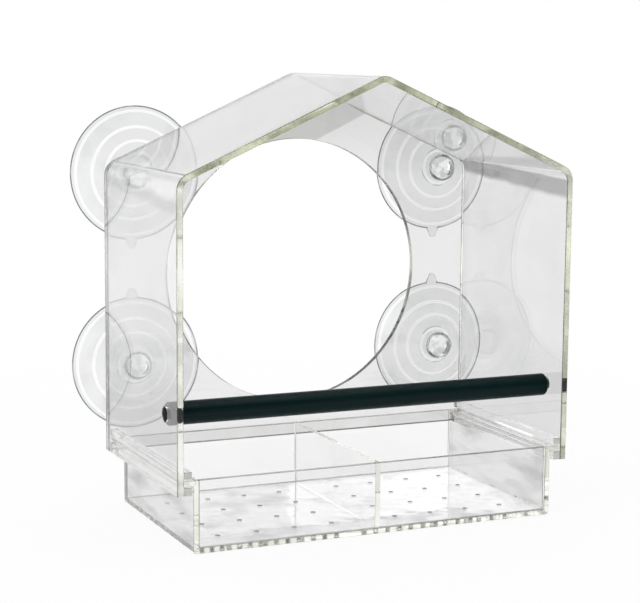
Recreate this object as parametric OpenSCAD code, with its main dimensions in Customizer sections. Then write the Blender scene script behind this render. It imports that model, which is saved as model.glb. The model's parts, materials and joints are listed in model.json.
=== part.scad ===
// Window bird feeder: a clear house-shaped shell on four suction cups, with a perch and a sliding seed tray.
// The origin lies on the window glass, midway between the four cups. +Y points through the glass into the
// room, and the open front of the feeder faces -Y. All sizes are in millimetres.

/* [House] */
// Outer width across the two side walls
house_w = 195; // [170:1:240]
// Depth from the front edge to the back edge
house_d = 102; // [85:1:130]
// Height of the eaves above the bottom of the side walls, at the sharp outer corner
eave_h = 137; // [120:1:165]
// Rise of the ridge above the eaves, at the sharp outer corners
roof_rise = 44; // [36:1:55]
// Thickness of the house sheet
sheet_t = 3; // [2:0.5:4]
// Inside radius of the heat bends
bend_r = 5; // [3:0.5:8]

/* [Back panel] */
// Diameter of the round opening
opening_d = 130; // [100:1:150]
// Height of the opening's centre above the bottom of the side walls
opening_z = 83; // [75:1:95]

/* [Tray rails] */
// How far the rails stand out from the side walls
rail_w = 3.8; // [3:0.1:5]
// Height of the lower rail, which the flange of the tray rests on
rail_low_h = 3.7; // [2:0.1:5]
// Height of the upper rail
rail_up_h = 3; // [2:0.1:5]
// Free height above the tray's flange in the groove
groove_play = 1.1; // [0.5:0.1:2]

/* [Tray] */
// Thickness of the tray sheet
tray_t = 2.5; // [2:0.1:3.5]
// Height of the tray from the underside of its floor to the top of its flanges
tray_h = 32.8; // [24:0.1:45]
// How far the front of the tray lies behind the front edge of the house
tray_setback = 1.3; // [0.5:0.1:5]
// Inside radius where the floor turns up into the side walls
tray_fillet = 2; // [1:0.1:4]
// Outside radius where the floor turns up into the side walls
tray_corner = 1.5; // [0.5:0.1:4]
// Diameter of the drain holes
drain_d = 2.6; // [2:0.1:4]
// Distance from the faces of a compartment to its outer drain holes
drain_edge = 15; // [8:0.5:20]
// Drain holes across and along each compartment
drain_count = 4; // [2:1:6]

/* [Perch] */
// Distance of the perch axis behind the front edge of the house
perch_y = 16.5; // [8:0.1:30]
// Height of the perch axis above the bottom of the side walls
perch_z = 33.45; // [28:0.05:45]
// Diameter of the rod
rod_d = 7.2; // [5:0.1:8.5]
// Wall of the sleeve on the rod
sleeve_wall = 1.6; // [1.1:0.1:3]
// Chamfer on the ends of the rod and the sleeve
perch_chamfer = 0.6; // [0.3:0.1:1]

/* [Suction cups] */
// Diameter of a cup's rim
cup_d = 64; // [50:0.5:75]
// Height of a cup from the back of the panel to the glass
cup_h = 6; // [5:0.1:10]
// Diameter of the neck that passes through the panel
neck_d = 9; // [6:0.1:10]
// Diameter of the mushroom head
head_d = 13.5; // [11.5:0.1:16]
// Length of the mushroom head
head_l = 5.5; // [4:0.1:7]
// Bevel round the front of the mushroom head
head_bevel = 2.75; // [1:0.05:3.5]
// Diameter of the shoulder that bears on the back of the panel
shoulder_d = 18; // [14:0.5:22]
// Diameter of the inner step on the front of the dish
step_in_d = 31; // [24:0.5:36]
// Diameter of the outer step on the front of the dish
step_out_d = 44; // [38:0.5:48]
// Height of the steps
step_h = 0.5; // [0.3:0.1:0.8]
// Width of the flat lip that seals on the glass
lip_w = 1.5; // [1:0.1:3]
// Thickness of the rim
rim_t = 0.8; // [0.6:0.1:1.5]
// Thickness of the dish at its centre
dish_t = 2.6; // [2:0.1:3.5]
// Share of the hollow's depth that is reached halfway to its centre
hollow_crown = 0.75; // [0.6:0.05:0.9]
// Distance from a head to the side wall
head_wall_gap = 7.4; // [3:0.1:12]
// Distance from an upper head to the underside of the roof
head_roof_gap = 1.4; // [1:0.1:5]
// Height of the lower cups above the bottom of the side walls
cup_low_z = 40.6; // [34:0.1:50]
// Width of a pull tab at the rim
tab_w = 8; // [5:0.5:12]
// How far a pull tab stands out from the rim
tab_l = 4.5; // [3:0.5:8]
// Radius of a pull tab's tip
tab_tip_r = 2; // [1:0.1:2.5]

/* [Fits] */
// Bond line between pieces that are glued
glue_gap = 0.05; // [0.02:0.01:0.2]
// Radial clearance of the rod and of the cup necks in their holes
running_gap = 0.08; // [0.02:0.01:0.1]
// Radial clearance of the sleeve on the rod
grip_gap = 0.04; // [0.02:0.01:0.1]
// Play along an axis between a turning piece and the sheet that it turns in
end_play = 0.3; // [0.2:0.05:0.5]
// Gap under the flange of the tray
slide_gap = 0.1; // [0.05:0.05:0.3]
// Gap between the edge of a flange and the side wall
flange_gap = 0.4; // [0.3:0.1:1]
// Gap between a side wall of the tray and the rails
tray_side_gap = 1.1; // [0.5:0.1:2]
// Gap between the tray and the back panel
tray_back_gap = 0.5; // [0.3:0.1:2]

/* [Hidden] */
$fn = 96;
overcut = 1;

ridge_h = eave_h + roof_rise;
half_w = house_w / 2;
inner_half_w = half_w - sheet_t;
roof_pitch = atan(roof_rise / half_w);
panel_front_y = house_d - sheet_t;
glass_y = house_d + cup_h;

cup_x = inner_half_w - head_wall_gap - head_d / 2;
roof_under_z = eave_h + (half_w - cup_x) * tan(roof_pitch) - sheet_t / cos(roof_pitch);
cup_up_z = roof_under_z - (head_d / 2 + head_roof_gap) / cos(roof_pitch);
cup_mid_z = (cup_low_z + cup_up_z) / 2;

groove_h = slide_gap + tray_t + groove_play;
rail_l = panel_front_y - glue_gap;

flange_half_w = inner_half_w - flange_gap;
tray_half_w = inner_half_w - rail_w - tray_side_gap;
tray_inner_half_w = tray_half_w - tray_t;
tray_top_z = rail_low_h + slide_gap + tray_t;
tray_low_z = tray_top_z - tray_h;
tray_floor_z = tray_low_z + tray_t;
tray_l = panel_front_y - tray_back_gap - tray_setback;
tray_end_y = tray_setback + tray_l;
plate_h = tray_top_z - tray_floor_z - glue_gap;

sleeve_l = 2 * (inner_half_w - end_play);
grip_r = rod_d / 2 + grip_gap;

// Pieces are drawn with the front edge at y = 0 and the bottom of the side walls at z = 0
module on_glass() {
    translate([0, -glass_y, -cup_mid_z]) children();
}

// Extrude an outline drawn in X and Z along +Y, from y = start
module along_depth(start, length) {
    translate([0, start + length, 0]) rotate([90, 0, 0]) linear_extrude(length) children();
}

// Turn a profile of radius and height about the depth axis, with its height along +Y
module about_depth() {
    rotate([-90, 0, 0]) rotate_extrude() children();
}

// Turn a profile of radius and height about the width axis, with its height along +X
module about_width() {
    rotate([0, 90, 0]) rotate_extrude() children();
}

// House outline drawn in from the outer faces, with rounded eaves and ridge and its bottom at low
module house_outline(inset, corner_r, low) {
    side_x = half_w - inset;
    eave_z = eave_h + inset * tan(roof_pitch) - inset / cos(roof_pitch);
    ridge_z = ridge_h - inset / cos(roof_pitch);
    eave_cut = corner_r / tan((90 + roof_pitch) / 2);
    ridge_cut = corner_r * tan(roof_pitch);
    polygon([
        [-side_x, low],
        [side_x, low],
        [side_x, eave_z - eave_cut],
        [side_x - eave_cut * cos(roof_pitch), eave_z + eave_cut * sin(roof_pitch)],
        [ridge_cut * cos(roof_pitch), ridge_z - ridge_cut * sin(roof_pitch)],
        [-ridge_cut * cos(roof_pitch), ridge_z - ridge_cut * sin(roof_pitch)],
        [-side_x + eave_cut * cos(roof_pitch), eave_z + eave_cut * sin(roof_pitch)],
        [-side_x, eave_z - eave_cut]
    ]);
    for (side = [-1, 1]) translate([side * (side_x - corner_r), eave_z - eave_cut]) circle(corner_r);
    translate([0, ridge_z - corner_r / cos(roof_pitch)]) circle(corner_r);
}

// Outline with rounded lower corners, standing on z = low and centred on x = 0
module tub_outline(half_width, low, high, corner_r) {
    translate([-half_width, low + corner_r]) square([2 * half_width, high - low - corner_r]);
    translate([corner_r - half_width, low]) square([2 * (half_width - corner_r), corner_r + overcut]);
    for (side = [-1, 1]) translate([side * (half_width - corner_r), low + corner_r]) circle(corner_r);
}

module house_shell() {
    color("gainsboro", 0.4) on_glass() difference() {
        along_depth(0, house_d) difference() {
            house_outline(0, bend_r + sheet_t, 0);
            house_outline(sheet_t, bend_r, -overcut);
        }
        translate([-half_w - overcut, perch_y, perch_z]) rotate([0, 90, 0])
            cylinder(d = rod_d + 2 * running_gap, h = house_w + 2 * overcut);
    }
}

module back_panel() {
    color("gainsboro", 0.4) on_glass() difference() {
        along_depth(panel_front_y, sheet_t) difference() {
            house_outline(sheet_t + glue_gap, bend_r - glue_gap, 0);
            translate([0, opening_z]) circle(d = opening_d);
            for (x = [-cup_x, cup_x], z = [cup_low_z, cup_up_z])
                translate([x, z]) circle(d = neck_d + 2 * running_gap);
        }
    }
}

// One bonded strip on the inside of a side wall; side is -1 on the left and 1 on the right
module rail(side, low, height) {
    near_x = inner_half_w - glue_gap - rail_w;
    color("gainsboro", 0.5) on_glass() translate([side > 0 ? near_x : -near_x - rail_w, 0, low])
        cube([rail_w, rail_l, height]);
}

module rail_left_upper() {
    rail(-1, rail_low_h + groove_h, rail_up_h);
}

module rail_left_lower() {
    rail(-1, 0, rail_low_h);
}

module rail_right_upper() {
    rail(1, rail_low_h + groove_h, rail_up_h);
}

module rail_right_lower() {
    rail(1, 0, rail_low_h);
}

// Evenly spaced places from first to last
function spaced(first, last) = [
    for (i = [0 : drain_count - 1]) first + (last - first) * i / (drain_count - 1)
];

module tray_body() {
    hole_xs = spaced(tray_t / 2 + drain_edge, tray_inner_half_w - drain_edge);
    hole_ys = spaced(tray_setback + tray_t + drain_edge, tray_end_y - tray_t - drain_edge);
    color("whitesmoke", 0.4) on_glass() difference() {
        along_depth(tray_setback, tray_l) difference() {
            union() {
                tub_outline(tray_half_w, tray_low_z, tray_top_z, tray_corner);
                translate([-flange_half_w, tray_top_z - tray_t]) square([2 * flange_half_w, tray_t]);
            }
            tub_outline(tray_inner_half_w, tray_floor_z, tray_top_z + overcut, tray_fillet);
        }
        for (side = [-1, 1], x = hole_xs, y = hole_ys) translate([side * x, y, tray_low_z - overcut])
            cylinder(d = drain_d, h = tray_t + 2 * overcut);
    }
}

// Plate between the side walls of the tray, from y = start
module tray_plate(start) {
    color("whitesmoke", 0.4) on_glass() along_depth(start, tray_t)
        tub_outline(tray_inner_half_w - glue_gap, tray_floor_z + glue_gap, tray_top_z, tray_fillet);
}

module tray_front() {
    tray_plate(tray_setback);
}

module tray_back() {
    tray_plate(tray_end_y - tray_t);
}

module tray_divider() {
    color("whitesmoke", 0.4) on_glass()
        translate([-tray_t / 2, tray_setback + tray_t + glue_gap, tray_floor_z + glue_gap])
            cube([tray_t, tray_l - 2 * (tray_t + glue_gap), plate_h]);
}

// Rod or tube of the perch, midway between the side walls, with a chamfer at both ends
module perch_piece(bore_r, outer_r, length) {
    on_glass() translate([-length / 2, perch_y, perch_z]) about_width()
        polygon([
            [bore_r, 0],
            [outer_r - perch_chamfer, 0],
            [outer_r, perch_chamfer],
            [outer_r, length - perch_chamfer],
            [outer_r - perch_chamfer, length],
            [bore_r, length]
        ]);
}

// Rod that turns in the side walls, flush with their outer faces
module perch_rod() {
    color("black") perch_piece(0, rod_d / 2, house_w);
}

// Sleeve that grips the rod between the side walls
module perch_sleeve() {
    color([0.05, 0.1, 0.11]) perch_piece(grip_r, grip_r + sleeve_wall, sleeve_l);
}

// Height of a cup's front face at a radius, between the shoulder and the rim
function dish_face(r) = end_play
    + (cup_h - rim_t - end_play) * (r - shoulder_d / 2) / (cup_d / 2 - shoulder_d / 2);

// Half section of a cup: radius, and height from the back of the panel towards the glass
module cup_section() {
    rim_r = cup_d / 2;
    hollow_r = rim_r - lip_w;
    hollow_h = cup_h - end_play - dish_t;
    head_base = -sheet_t - end_play;
    polygon([
        [0, head_base - head_l],
        [head_d / 2 - head_bevel, head_base - head_l],
        [head_d / 2, head_base - head_l + head_bevel],
        [head_d / 2, head_base],
        [neck_d / 2, head_base],
        [neck_d / 2, end_play],
        [shoulder_d / 2, end_play],
        for (d = [step_in_d, step_out_d], edge = [-1, 1])
            [(d + edge * step_h) / 2, dish_face(d / 2) + edge * step_h / 2],
        [rim_r, cup_h - rim_t],
        [rim_r, cup_h],
        [hollow_r, cup_h],
        [hollow_r / 2, cup_h - hollow_h * hollow_crown],
        [0, cup_h - hollow_h]
    ]);
}

// Pull tab that points along +Z from the rim, drawn around the cup's axis
module cup_tab() {
    root_z = sqrt(pow(cup_d / 2, 2) - pow(tab_w / 2, 2)) - lip_w;
    tip_z = cup_d / 2 + tab_l - tab_tip_r;
    along_depth(cup_h - rim_t, rim_t) {
        polygon([[-tab_w / 2, root_z], [tab_w / 2, root_z], [tab_tip_r, tip_z], [-tab_tip_r, tip_z]]);
        translate([0, tip_z]) circle(tab_tip_r);
    }
}

// Suction cup on the panel; its tab points to the middle of the feeder
module suction_cup(x, z) {
    color("white", 0.5) on_glass() translate([x, house_d, z]) {
        about_depth() cup_section();
        mirror([0, 0, z > cup_mid_z ? 1 : 0]) cup_tab();
    }
}

module cup_upper_left() {
    suction_cup(-cup_x, cup_up_z);
}

module cup_upper_right() {
    suction_cup(cup_x, cup_up_z);
}

module cup_lower_left() {
    suction_cup(-cup_x, cup_low_z);
}

module cup_lower_right() {
    suction_cup(cup_x, cup_low_z);
}

house_shell();
back_panel();
rail_left_upper();
rail_left_lower();
rail_right_upper();
rail_right_lower();
tray_body();
tray_front();
tray_back();
tray_divider();
perch_rod();
perch_sleeve();
cup_upper_left();
cup_upper_right();
cup_lower_left();
cup_lower_right();
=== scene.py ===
"""Looks of a clear window bird feeder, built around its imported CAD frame.

The feeder is a house of bent acrylic sheet on four suction cups, with a sliding seed tray and a black perch.
Every piece is remade as a mesh with rounded edges and a procedural finish, and rides on its CAD body.
"""
import json
import logging
import math
from dataclasses import dataclass
from enum import Enum
from functools import cache
from typing import Any, Callable, Mapping, Sequence, Union

import bmesh
import bpy
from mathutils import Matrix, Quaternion, Vector
from mathutils.geometry import tessellate_polygon


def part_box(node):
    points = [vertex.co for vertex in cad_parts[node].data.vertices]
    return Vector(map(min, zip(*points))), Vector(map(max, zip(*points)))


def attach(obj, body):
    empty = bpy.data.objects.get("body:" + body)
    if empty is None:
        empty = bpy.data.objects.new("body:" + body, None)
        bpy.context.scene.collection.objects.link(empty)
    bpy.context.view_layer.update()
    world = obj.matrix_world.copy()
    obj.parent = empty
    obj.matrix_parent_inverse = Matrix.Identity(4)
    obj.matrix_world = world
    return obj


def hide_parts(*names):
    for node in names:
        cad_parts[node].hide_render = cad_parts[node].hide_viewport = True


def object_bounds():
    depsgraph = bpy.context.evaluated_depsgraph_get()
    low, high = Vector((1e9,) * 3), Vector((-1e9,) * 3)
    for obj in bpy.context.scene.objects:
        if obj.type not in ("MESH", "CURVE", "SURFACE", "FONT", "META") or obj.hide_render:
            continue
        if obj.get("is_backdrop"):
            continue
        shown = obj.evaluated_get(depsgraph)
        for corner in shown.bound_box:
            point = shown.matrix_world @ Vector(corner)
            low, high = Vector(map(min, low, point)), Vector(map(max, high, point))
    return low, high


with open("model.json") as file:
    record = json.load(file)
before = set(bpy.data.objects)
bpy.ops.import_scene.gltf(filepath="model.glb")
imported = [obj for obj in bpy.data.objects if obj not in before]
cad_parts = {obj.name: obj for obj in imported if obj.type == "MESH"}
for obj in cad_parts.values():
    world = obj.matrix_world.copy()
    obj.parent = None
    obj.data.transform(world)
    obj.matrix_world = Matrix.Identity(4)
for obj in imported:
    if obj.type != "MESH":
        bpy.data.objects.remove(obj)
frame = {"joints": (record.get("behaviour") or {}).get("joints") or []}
CAD_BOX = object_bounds()

MM = 0.001

Colour = tuple[float, float, float]
Place = tuple[float, float, float]
Point = tuple[float, float]
Span = tuple[float, float]
Loop = list[Point]
Values = Mapping[str, Any] | None
Socket = bpy.types.NodeSocket
RawMesh = bmesh.types.BMesh

log = logging.getLogger("feeder")


# Node graphs


def find_socket(sockets: Any, key: str) -> Socket:
    """A node's socket by its identifier, or else by its name."""
    for socket in sockets:
        if socket.identifier == key:
            return socket
    return sockets[key]


class Graph:
    """Makes and links the nodes of one tree."""

    def __init__(self, tree: bpy.types.NodeTree) -> None:
        """Keep the tree that the nodes go into."""
        self.tree = tree

    def node(self, kind: str, settings: Values = None, inputs: Values = None) -> bpy.types.Node:
        """Add one node.

        Args:
            kind: type name of the node.
            settings: its properties, set first; "stops" gives a ramp's places and colours.
            inputs: a value, a socket, a Number or a list of sockets for each input.

        Returns:
            The new node.
        """
        node = self.tree.nodes.new(kind)
        for key, value in (settings or {}).items():
            if key == "stops":
                self._set_stops(node, value)
            else:
                setattr(node, key, value)
        for key, value in (inputs or {}).items():
            socket = find_socket(node.inputs, key)
            for source in value if isinstance(value, list) else [value]:
                self._feed(socket, source)
        return node

    def made(self, kind: str, settings: Values = None, inputs: Values = None) -> Socket:
        """The first output of a new node."""
        return self.node(kind, settings, inputs).outputs[0]

    def _set_stops(self, ramp: bpy.types.Node, stops: Sequence[tuple[float, Colour]]) -> None:
        """Give a colour ramp its stops."""
        elements = ramp.color_ramp.elements
        while len(elements) < len(stops):
            elements.new(1.0)
        for element, (place, colour) in zip(elements, stops):
            element.position = place
            element.color = (*colour, 1.0)

    def _feed(self, socket: Socket, source: Any) -> None:
        """Link a socket or a Number to an input, or set the input's value."""
        if isinstance(source, Number):
            source = source.socket
        if isinstance(source, Socket):
            self.tree.links.new(source, socket)
        else:
            socket.default_value = source


@dataclass(frozen=True)
class Number:
    """A number on a socket; an expression on it adds Math nodes to its graph."""

    graph: Graph
    socket: Socket

    def _math(self, operation: str, first: "Operand", second: "Operand") -> "Number":
        """A Math node on two operands, as a new Number."""
        inputs = {"Value": first, "Value_001": second}
        return Number(self.graph, self.graph.made("ShaderNodeMath", {"operation": operation}, inputs))

    def __add__(self, other: "Operand") -> "Number":
        """This plus another."""
        return self._math("ADD", self, other)

    def __radd__(self, other: "Operand") -> "Number":
        """Another plus this."""
        return self._math("ADD", other, self)

    def __sub__(self, other: "Operand") -> "Number":
        """This less another."""
        return self._math("SUBTRACT", self, other)

    def __rsub__(self, other: "Operand") -> "Number":
        """Another less this."""
        return self._math("SUBTRACT", other, self)

    def __mul__(self, other: "Operand") -> "Number":
        """This times another."""
        return self._math("MULTIPLY", self, other)

    def __rmul__(self, other: "Operand") -> "Number":
        """Another times this."""
        return self._math("MULTIPLY", other, self)

    def larger(self, other: "Operand") -> "Number":
        """The larger of this and another."""
        return self._math("MAXIMUM", self, other)

    def eased(self, low: float, high: float) -> "Number":
        """Zero at low, one at high and a smooth step between them."""
        inputs = {"Value": self, "From Min": low, "From Max": high}
        settings = {"interpolation_type": "SMOOTHSTEP"}
        return Number(self.graph, self.graph.made("ShaderNodeMapRange", settings, inputs))


Operand = Union[Number, float]
Tone = Union[Colour, Socket]


class ShaderGraph(Graph):
    """Graph of a material or a world, with the textures that the finishes share."""

    def place(self) -> Socket:
        """Object coordinates, which are the row frame's."""
        return self.node("ShaderNodeTexCoord").outputs["Object"]

    def axis(self, name: str) -> Number:
        """X, Y or Z in the row frame."""
        return Number(self, self.node("ShaderNodeSeparateXYZ", inputs={"Vector": self.place()}).outputs[name])

    def noise(self, size: float, detail: float = 2.0, stretch: Place = (1.0, 1.0, 1.0)) -> Number:
        """Noise on Object coordinates.

        Args:
            size: length of one feature in metres.
            detail: octaves of finer noise.
            stretch: how much longer the features are along X, Y and Z.

        Returns:
            A number around one half.
        """
        shrink = tuple(1.0 / s for s in stretch)
        scaled = self.made("ShaderNodeMapping", inputs={"Vector": self.place(), "Scale": shrink})
        inputs = {"Vector": scaled, "Scale": 1.0 / size, "Detail": detail}
        return Number(self, self.made("ShaderNodeTexNoise", {"noise_dimensions": "3D"}, inputs))

    def mixed(self, share: Number, low: Tone, high: Tone) -> Socket:
        """A colour between two, by a share from zero to one."""
        ends = [tone if isinstance(tone, Socket) else (*tone, 1.0) for tone in (low, high)]
        inputs = {"Factor_Float": share, "A_Color": ends[0], "B_Color": ends[1]}
        return find_socket(self.node("ShaderNodeMix", {"data_type": "RGBA"}, inputs).outputs, "Result_Color")

    def ramped(self, share: Number, stops: Sequence[tuple[float, float]]) -> Number:
        """A number that runs straight between stops of place and value."""
        greys = [(place, grey(value)) for place, value in stops]
        return Number(self, self.made("ShaderNodeValToRGB", {"stops": greys}, {"Fac": share}))

    def vector(self, operation: str, first: Any, second: Place = (0.0, 0.0, 0.0)) -> Socket:
        """The result of a Vector Math node."""
        inputs = {"Vector": first, "Vector_001": second}
        node = self.node("ShaderNodeVectorMath", {"operation": operation}, inputs)
        return node.outputs["Value" if operation in ("DOT_PRODUCT", "LENGTH") else "Vector"]

    def bumped(self, height: Number, depth: float = 1.0) -> Socket:
        """A normal that follows a height, which is scaled by a depth in metres."""
        return self.made("ShaderNodeBump", inputs={"Strength": 1.0, "Distance": depth, "Height": height})

    def surface(self, inputs: Mapping[str, Any]) -> None:
        """End a material in a Principled shader with these inputs."""
        shader = self.made("ShaderNodeBsdfPrincipled", inputs=inputs)
        self.node("ShaderNodeOutputMaterial", inputs={"Surface": shader})


def new_material(name: str) -> tuple[bpy.types.Material, ShaderGraph]:
    """An empty node material and its graph."""
    material = bpy.data.materials.new(name)
    material.use_nodes = True
    material.node_tree.nodes.clear()
    return material, ShaderGraph(material.node_tree)


# Finishes


def grey(level: float) -> Colour:
    """A neutral colour."""
    return level, level, level


def mm(low: float, high: float) -> Span:
    """A span of heights or places, given in millimetres."""
    return low * MM, high * MM


@dataclass(frozen=True)
class Layer:
    """Tints and frost that take over in a band of heights, on a sheet or on its sawn edges; most layers below
    use them to paint shade or light into that band.

    A span gives the values where the band has none and all of its strength; a height leans with X and Y.
    """

    start: Span
    tint: Colour
    patch_tint: Colour
    end: Span | None = None
    side: Span | None = None
    lean: Point = (0.0, 0.0)
    frost: float = 0.0
    wander: float = 0.0
    wander_size: float = 20 * MM

    def share(self, graph: ShaderGraph) -> Number:
        """How far the layer covers a place, from zero to one."""
        height = graph.axis("Z") - graph.axis("X") * self.lean[0] - graph.axis("Y") * self.lean[1]
        if self.wander:
            height = height + (graph.noise(self.wander_size) - 0.5) * self.wander
        share = height.eased(*self.start)
        if self.end:
            share = share * height.eased(*self.end)
        if self.side:
            share = share * graph.axis("X").eased(*self.side)
        return share


@dataclass(frozen=True)
class ClearPlastic:
    """Clear plastic with patches, a slow ripple and fine lines; the patches are smudges, except in the
    finishes where they and the tints paint shade or highlights. What isn't clear scatters light.
    """

    name: str
    tint: Colour
    patch_tint: Colour
    layers: tuple[Layer, ...] = ()
    roughness: float = 0.004
    patch_roughness: float = 0.03
    refraction: float = 1.49
    clearness: float = 1.0
    patch_size: float = 40 * MM
    patch_detail: float = 3.0
    patch_span: Span = (0.45, 0.75)
    patch_stretch: Place = (1.0, 1.0, 1.0)
    ripple_size: float = 30 * MM
    ripple_detail: float = 1.0
    ripple_depth: float = 0.02 * MM
    line_size: float = 0.6 * MM
    line_depth: float = 0.0003 * MM
    line_stretch: Place = (1.0, 1.0, 12.0)

    def material(self) -> bpy.types.Material:
        """Build the node material."""
        material, graph = new_material(self.name)
        patches = graph.noise(self.patch_size, self.patch_detail, self.patch_stretch).eased(*self.patch_span)
        tone = graph.mixed(patches, self.tint, self.patch_tint)
        roughness = patches * (self.patch_roughness - self.roughness) + self.roughness
        for layer in self.layers:
            share = layer.share(graph)
            tone = graph.mixed(share, tone, graph.mixed(patches, layer.tint, layer.patch_tint))
            roughness = roughness + share * layer.frost
        ripple = graph.noise(self.ripple_size, self.ripple_detail) * self.ripple_depth
        lines = graph.noise(self.line_size, stretch=self.line_stretch) * self.line_depth
        graph.surface({
            "Base Color": tone,
            "Roughness": roughness,
            "IOR": self.refraction,
            "Transmission Weight": self.clearness,
            "Normal": graph.bumped(ripple + lines),
        })
        return material


@dataclass(frozen=True)
class SatinBlack:
    """Black plastic or rubber with drawn streaks and a fine grain."""

    name: str
    colour: Colour
    streak_colour: Colour
    roughness: float
    streak_roughness: float
    gloss: float
    streak_size: float
    grain_size: float
    grain_depth: float
    streak_detail: float = 3.0
    streak_span: Span = (0.35, 0.7)
    streak_stretch: Place = (40.0, 1.0, 1.0)

    def material(self) -> bpy.types.Material:
        """Build the node material."""
        material, graph = new_material(self.name)
        noise = graph.noise(self.streak_size, self.streak_detail, self.streak_stretch)
        streaks = noise.eased(*self.streak_span)
        graph.surface({
            "Base Color": graph.mixed(streaks, self.colour, self.streak_colour),
            "Roughness": streaks * (self.streak_roughness - self.roughness) + self.roughness,
            "Specular IOR Level": self.gloss,
            "Normal": graph.bumped(graph.noise(self.grain_size), self.grain_depth),
        })
        return material


# Painted shade: a dark streak on the right wall just under the eave bend, dropping towards the front.
RIGHT_BEND_SHADE = Layer(
    start=mm(43, 46), end=mm(53.5, 52), side=mm(90.5, 93), lean=(0.0, 0.065),
    tint=grey(0.36), patch_tint=(0.48, 0.48, 0.475), frost=0.06, wander=3 * MM,
)
# Painted light: a lighter band around the left eave bend.
LEFT_BEND_LIGHT = Layer(
    start=mm(42, 49), end=mm(61, 53), side=mm(-78, -90), lean=(0.0, 0.04),
    tint=grey(0.90), patch_tint=grey(0.82), frost=0.06, wander=5 * MM,
)
LEFT_SHADE = Layer(
    start=mm(40.4, 44.4), end=mm(49.2, 45.4), side=mm(-92, -94), lean=(0.0, 0.069),
    tint=grey(0.62), patch_tint=grey(0.57), frost=0.05, wander=3 * MM,
)
# Painted light: the lower part of the left wall lighter.
LEFT_FOOT_LIGHT = Layer(
    start=mm(-71, -75), side=mm(-84, -92), tint=(0.93, 0.93, 0.925), patch_tint=(0.88, 0.88, 0.875),
)
# Painted shade: the shell's cut edges darker and olive above the eaves.
ROOF_EDGE_SHADE = Layer(start=mm(46, 54), tint=(0.68, 0.70, 0.52), patch_tint=(0.25, 0.26, 0.16))
# Painted shade: the right wall's cut edges darker and olive below the eave.
RIGHT_EDGE_SHADE = Layer(
    start=mm(56, 50), side=mm(90, 92), tint=(0.66, 0.68, 0.57), patch_tint=(0.46, 0.48, 0.37),
)
# Painted shade: the back panel darker towards its top.
PANEL_TOP_SHADE = Layer(start=mm(34, 72), tint=grey(0.73), patch_tint=(0.68, 0.68, 0.685))
# Painted shade: a dark band high on the back panel between two sloping lines, fading out to the left.
PANEL_SLOPE_SHADE = Layer(
    start=mm(55, 56.2), end=mm(72, 67), side=mm(-42, -26), lean=(0.47, 0.0),
    tint=(0.56, 0.56, 0.55), patch_tint=(0.48, 0.48, 0.47), wander=1.5 * MM,
)
PANEL_FOOT = Layer(start=mm(-80, -82), tint=(0.74, 0.74, 0.735), patch_tint=(0.90, 0.90, 0.895))
# Painted shade: the back panel's cut edges near black at its foot.
PANEL_FOOT_EDGE_SHADE = Layer(start=mm(-84, -86), tint=(0.08, 0.085, 0.08), patch_tint=(0.16, 0.17, 0.16))

SAWN = {"line_size": 0.5 * MM, "line_depth": 0.002 * MM, "line_stretch": (6.0, 1.0, 6.0)}
STRIP = {"patch_size": 10 * MM, "patch_stretch": (1.0, 4.0, 1.0), "line_stretch": (1.0, 12.0, 1.0)}
MOULDED = {"line_depth": 0.001 * MM, "line_stretch": (1.0, 1.0, 1.0)}


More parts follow.
